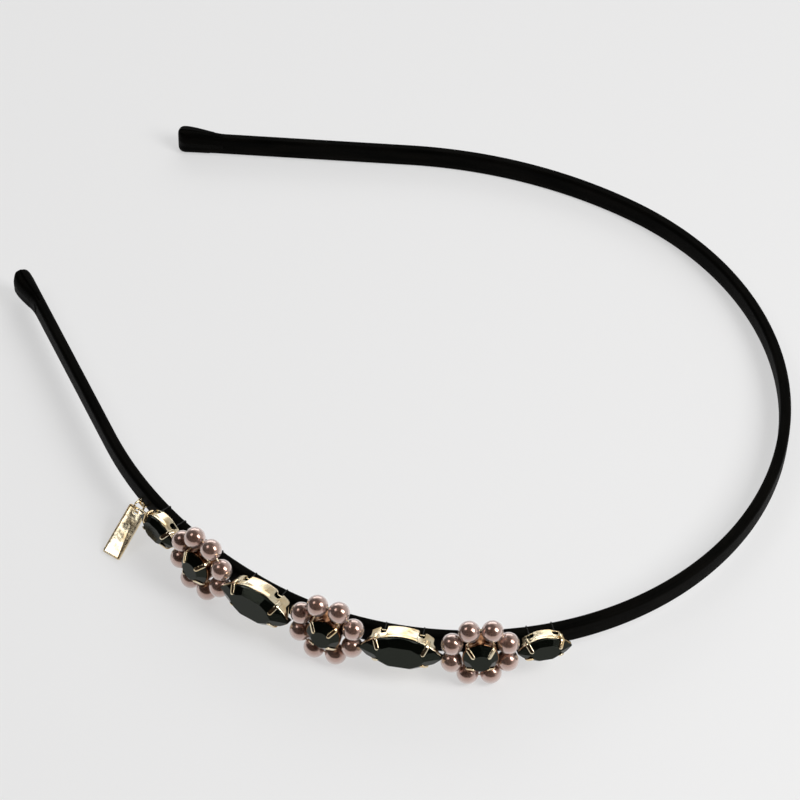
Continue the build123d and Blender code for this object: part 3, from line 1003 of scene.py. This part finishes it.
def tag_piece():
    """The tag: rings of points from its hole outwards, each a blend between the hole's circle and
    the plate's rounded outline, over the field, the step up to the rim, the rim's round edge, and
    back under the plate to the hole."""
    sizes = settings("headband_tag")
    hole, along, across, face = tag_frame()
    low = -sizes.hole_edge
    high = sizes.size - sizes.hole_edge
    corner_angle = math.atan2(sizes.width / 2, high)
    near_angle = math.atan2(sizes.width / 2, low)
    dense = np.concatenate([
        np.linspace(0, corner_angle, 24, endpoint=False),
        np.linspace(corner_angle, near_angle, 60, endpoint=False),
        np.linspace(near_angle, np.pi, 20, endpoint=False),
    ])
    turn = np.concatenate([dense, [np.pi], TAU - dense[:0:-1]])
    circle = np.stack([np.cos(turn), np.sin(turn)], axis=-1) * sizes.hole

    def outline(inset):
        radius = max(sizes.corner - inset, 0.12 * MM)
        return rectangle_rays(turn, low + inset, high - inset, sizes.width / 2 - inset, radius)

    half = sizes.thickness / 2
    bevel = 0.09 * MM
    field = half - sizes.groove
    rings = [
        (circle, -half),
        (circle, field),
        (circle * 1.06, field + 0.02 * MM),
        (circle * 1.35, field),
        (outline(sizes.rim + 0.1 * MM), field),
        (outline(sizes.rim + 0.03 * MM), field + 0.01 * MM),
        (outline(sizes.rim - 0.04 * MM), half - 0.01 * MM),
        (outline(sizes.rim - 0.09 * MM), half),
        (outline(bevel * 1.3), half),
        (outline(bevel * 0.5), half - bevel * 0.3),
        (outline(0), half - bevel),
        (outline(0), -half + bevel),
        (outline(bevel * 0.5), -half + bevel * 0.3),
        (outline(bevel * 1.3), -half),
        (circle * 1.2, -half),
    ]
    grid = np.stack([
        hole + ring[:, :1] * along + ring[:, 1:] * across + height * face for ring, height in rings
    ], axis=1)
    shell = Shell()
    shell.loft(grid[:, ::-1], closed_rows=True)
    return shell.make("gold_tag", finish_for("tag_gold"))


def jump_ring_piece():
    """The jump ring: a circle carried round almost a full circle, cut by a narrow slit. Its plane
    holds the two joints' points, and its middle is the middle of its box."""
    sizes = settings("headband_tag")
    low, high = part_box("jump_ring")
    middle = (np.array(low) + np.array(high)) / 2
    mesh = frame["nodes"]["jump_ring"].data
    points = np.empty(len(mesh.vertices) * 3)
    mesh.vertices.foreach_get("co", points)
    points = points.reshape(-1, 3) - middle
    _, _, axes = np.linalg.svd(points, full_matrices=False)
    hole = tag_frame()[0]
    first = unit(hole - middle - axes[2] * np.dot(hole - middle, axes[2]))
    second = np.cross(axes[2], first)
    gap = sizes.ring_gap / sizes.ring_radius
    turn = np.linspace(gap / 2, TAU - gap / 2, 97) + np.pi / 2
    spread = np.cos(turn)[:, None] * first + np.sin(turn)[:, None] * second
    around = np.linspace(0, TAU, 20, endpoint=False)
    circle = np.stack([np.cos(around), np.sin(around)], axis=-1) * sizes.ring_wire
    up = np.broadcast_to(axes[2], spread.shape)
    grid = carried(middle + spread * sizes.ring_radius, circle, spread, up)
    shell = Shell()
    shell.loft(grid[:, ::-1])
    return shell.make("gold_jump_ring", finish_for("pale_gold"))


# ---------------------------------------------------------------- stage


def stage_floor():
    """A wide flat table under the object."""
    mesh = bpy.data.meshes.new("pale_floor")
    reach = 4.0
    cells = 8
    line = np.linspace(-reach, reach, cells + 1)
    x, y = np.meshgrid(line, line)
    points = np.stack([x, y, np.zeros_like(x)], axis=-1).reshape(-1, 3)
    corner = (np.arange(cells)[:, None] * (cells + 1) + np.arange(cells)).ravel()
    faces = np.stack([corner, corner + 1, corner + cells + 2, corner + cells + 1], axis=-1)
    mesh.from_pydata(points.tolist(), [], faces.tolist())
    mesh.materials.append(floor_finish())
    floor = bpy.data.objects.new("pale_floor", mesh)
    bpy.context.scene.collection.objects.link(floor)


def soft_box(name, aim, direction, distance, size, power):
    """A square light at a distance from the aimed point, facing it."""
    light = bpy.data.lights.new(name, "AREA")
    light.shape = "RECTANGLE"
    light.size, light.size_y = size
    light.energy = power
    lamp = bpy.data.objects.new(name, light)
    bpy.context.scene.collection.objects.link(lamp)
    way = Vector(direction).normalized()
    lamp.location = Vector(aim) + way * distance
    lamp.rotation_euler = way.to_track_quat("Z", "Y").to_euler()
    return lamp


def camera_axes():
    """Right, up and backward directions of the camera in the row frame."""
    stage = settings("headband_stage")
    a, e, roll = stage.azimuth, stage.elevation, stage.roll
    right = np.array([math.cos(a), math.sin(a), 0])
    up = np.array([-math.sin(a) * math.sin(e), math.cos(a) * math.sin(e), math.cos(e)])
    back = np.array([math.sin(a) * math.cos(e), -math.cos(a) * math.cos(e), math.sin(e)])
    rolled_right = right * math.cos(roll) - up * math.sin(roll)
    rolled_up = right * math.sin(roll) + up * math.cos(roll)
    return to_row_direction(np.stack([rolled_right, rolled_up, back]))


def stage_camera():
    stage = settings("headband_stage")
    right, up, back = camera_axes()
    aim = to_row(np.array([stage.aim_x, stage.aim_y, 0.0]))
    data = bpy.data.cameras.new("headband_camera")
    data.lens = stage.lens
    data.sensor_width = 36
    data.clip_start = 0.01
    camera = bpy.data.objects.new("headband_camera", data)
    bpy.context.scene.collection.objects.link(camera)
    turn = Matrix(np.stack([right, up, back], axis=1).tolist()).to_4x4()
    camera.matrix_world = Matrix.Translation(aim + back * stage.distance) @ turn
    bpy.context.scene.camera = camera
    return aim, right, up, back


def stage_world(dark_side):
    """Soft studio surround: pale all round, with a dim brown side towards the viewer's left."""
    world = bpy.data.worlds.new("soft_studio")
    bpy.context.scene.world = world
    world.use_nodes = True
    tree = Finish(world.node_tree)
    ray = tree.add("ShaderNodeTexCoord", out="Generated")
    sockets = {0: ray, 1: tuple(dark_side)}
    towards = tree.add("ShaderNodeVectorMath", {"operation": "DOT_PRODUCT"}, sockets, out="Value")
    shade = tree.ramp(towards * 0.5 + 0.5, [(0.50, (0.95, 0.95, 0.95)), (0.66, (0.034, 0.022, 0.016))])
    background = tree.add("ShaderNodeBackground", None, {"Color": shade, "Strength": 0.55})
    tree.add("ShaderNodeOutputWorld", None, {"Surface": background})


def build_stage():
    aim, right, up, back = stage_camera()
    stage_floor()
    stage_world(unit(back - 0.62 * right + 0.1 * up))
    top = np.array([0, 0, 1.0])
    over = soft_box("overhead", aim, top - 0.2 * back, 0.9, (1.4, 1.4), 2.0)
    over.visible_glossy = False
    soft_box("side", aim, right * 0.9 + back * 1.05 + up * 0.3, 0.55, (0.22, 0.3), 1.9)
    soft_box("behind", aim, up - back * 0.25, 0.7, (0.8, 0.3), 1.2)
    face = tag_frame()[3]
    mirrored = 2 * face * np.dot(face, back) - back
    soft_box("tag_light", aim, mirrored, 0.6, (0.2, 0.2), 0.32)
    scene = bpy.context.scene
    scene.view_settings.view_transform = "Standard"


# ---------------------------------------------------------------- operators


class HEADBAND_OT_ribbon(bpy.types.Operator):
    """Wrap the band in satin ribbon and fold it over both tips"""

    bl_idname = "headband.ribbon"
    bl_label = "Satin ribbon"

    def execute(self, context):
        place_piece(ribbon_piece(), "headband", "black_ribbon", "ribbon_wrap")
        place_piece(tip_piece(LEFT_ARM, "satin_tip_left"), "headband", "black_ribbon", "left_end_cap")
        place_piece(tip_piece(RIGHT_ARM, "satin_tip_right"), "headband", "black_ribbon", "right_end_cap")
        return {"FINISHED"}


class HEADBAND_OT_flowers(bpy.types.Operator):
    """Make each flower's pearls, bead wire, cup and thread"""

    bl_idname = "headband.flowers"
    bl_label = "Pearl flowers"

    def execute(self, context):
        for number, station in enumerate(flower_stations(), 1):
            for k in range(PEARLS_IN_FLOWER):
                place_piece(pearl_piece(number, k), "headband", "pearl", f"pearl_{number}_{k + 1}")
            place_piece(bead_wire_piece(number), "headband", "pale_gold", f"bead_wire_{number}")
            place_piece(round_setting_piece(number), "headband", "pale_gold", f"flower_setting_{number}")
            place_piece(round_claws_piece(number), "headband", "pale_gold")
            thread = thread_pieces(f"flower_sewing_{number}", station, FLOWER_THREAD_X)
            place_piece(thread, "headband", "black_thread", f"flower_thread_{number}")
        return {"FINISHED"}


class HEADBAND_OT_navettes(bpy.types.Operator):
    """Make the claw cups and threads of the pointed stones"""

    bl_idname = "headband.navettes"
    bl_label = "Navette cups"

    def execute(self, context):
        for number, (station, size) in enumerate(navettes(), 1):
            cup = navette_setting_piece(number, station, size)
            place_piece(cup, "headband", "pale_gold", f"navette_setting_{number}")
            thread = thread_pieces(f"navette_sewing_{number}", station, THREAD_PLACE * size["length"])
            place_piece(thread, "headband", "black_thread", f"navette_thread_{number}")
        return {"FINISHED"}


class HEADBAND_OT_tag(bpy.types.Operator):
    """Make the tag and its jump ring"""

    bl_idname = "headband.tag"
    bl_label = "Tag and ring"

    def execute(self, context):
        place_piece(jump_ring_piece(), "jump_ring", "pale_gold", "jump_ring")
        place_piece(tag_piece(), "tag", "pale_gold", "tag")
        return {"FINISHED"}


class HEADBAND_OT_kept_parts(bpy.types.Operator):
    """Give the stones, core and staple that stay from the frame their finishes"""

    bl_idname = "headband.kept_parts"
    bl_label = "Stones and staple"

    def execute(self, context):
        slots = {entry["node"]: entry["material_slot"] for entry in frame["record"]["subparts"]}
        for node in NODES:
            mesh_object = frame["nodes"][node]
            if mesh_object.hide_render:
                continue
            for slot in mesh_object.material_slots:
                slot.material = finish_for(slots[node])
        return {"FINISHED"}


class HEADBAND_OT_stage(bpy.types.Operator):
    """Set the pale floor, the soft lights and the camera"""

    bl_idname = "headband.stage"
    bl_label = "Stage"

    def execute(self, context):
        build_stage()
        return {"FINISHED"}


OPERATORS = [
    HEADBAND_OT_ribbon,
    HEADBAND_OT_flowers,
    HEADBAND_OT_navettes,
    HEADBAND_OT_tag,
    HEADBAND_OT_kept_parts,
    HEADBAND_OT_stage,
]


class HEADBAND_PT_panel(bpy.types.Panel):
    """Lists the headband's operators in the sidebar"""

    bl_idname = "HEADBAND_PT_panel"
    bl_label = "Headband"
    bl_space_type = "VIEW_3D"
    bl_region_type = "UI"
    bl_category = "Headband"

    def draw(self, context):
        for operator in OPERATORS:
            self.layout.operator(operator.bl_idname)


def register():
    for group in SETTINGS.values():
        bpy.utils.register_class(group)
    for name, group in SETTINGS.items():
        setattr(bpy.types.Scene, name, bpy.props.PointerProperty(type=group))
    for shown in [*OPERATORS, HEADBAND_PT_panel]:
        bpy.utils.register_class(shown)


def unregister():
    for shown in reversed([*OPERATORS, HEADBAND_PT_panel]):
        bpy.utils.unregister_class(shown)
    for name, group in SETTINGS.items():
        delattr(bpy.types.Scene, name)
        bpy.utils.unregister_class(group)


def main():
    register()
    for operator in OPERATORS:
        family, name = operator.bl_idname.split(".")
        getattr(getattr(bpy.ops, family), name)()


if __name__ == "__main__":
    main()
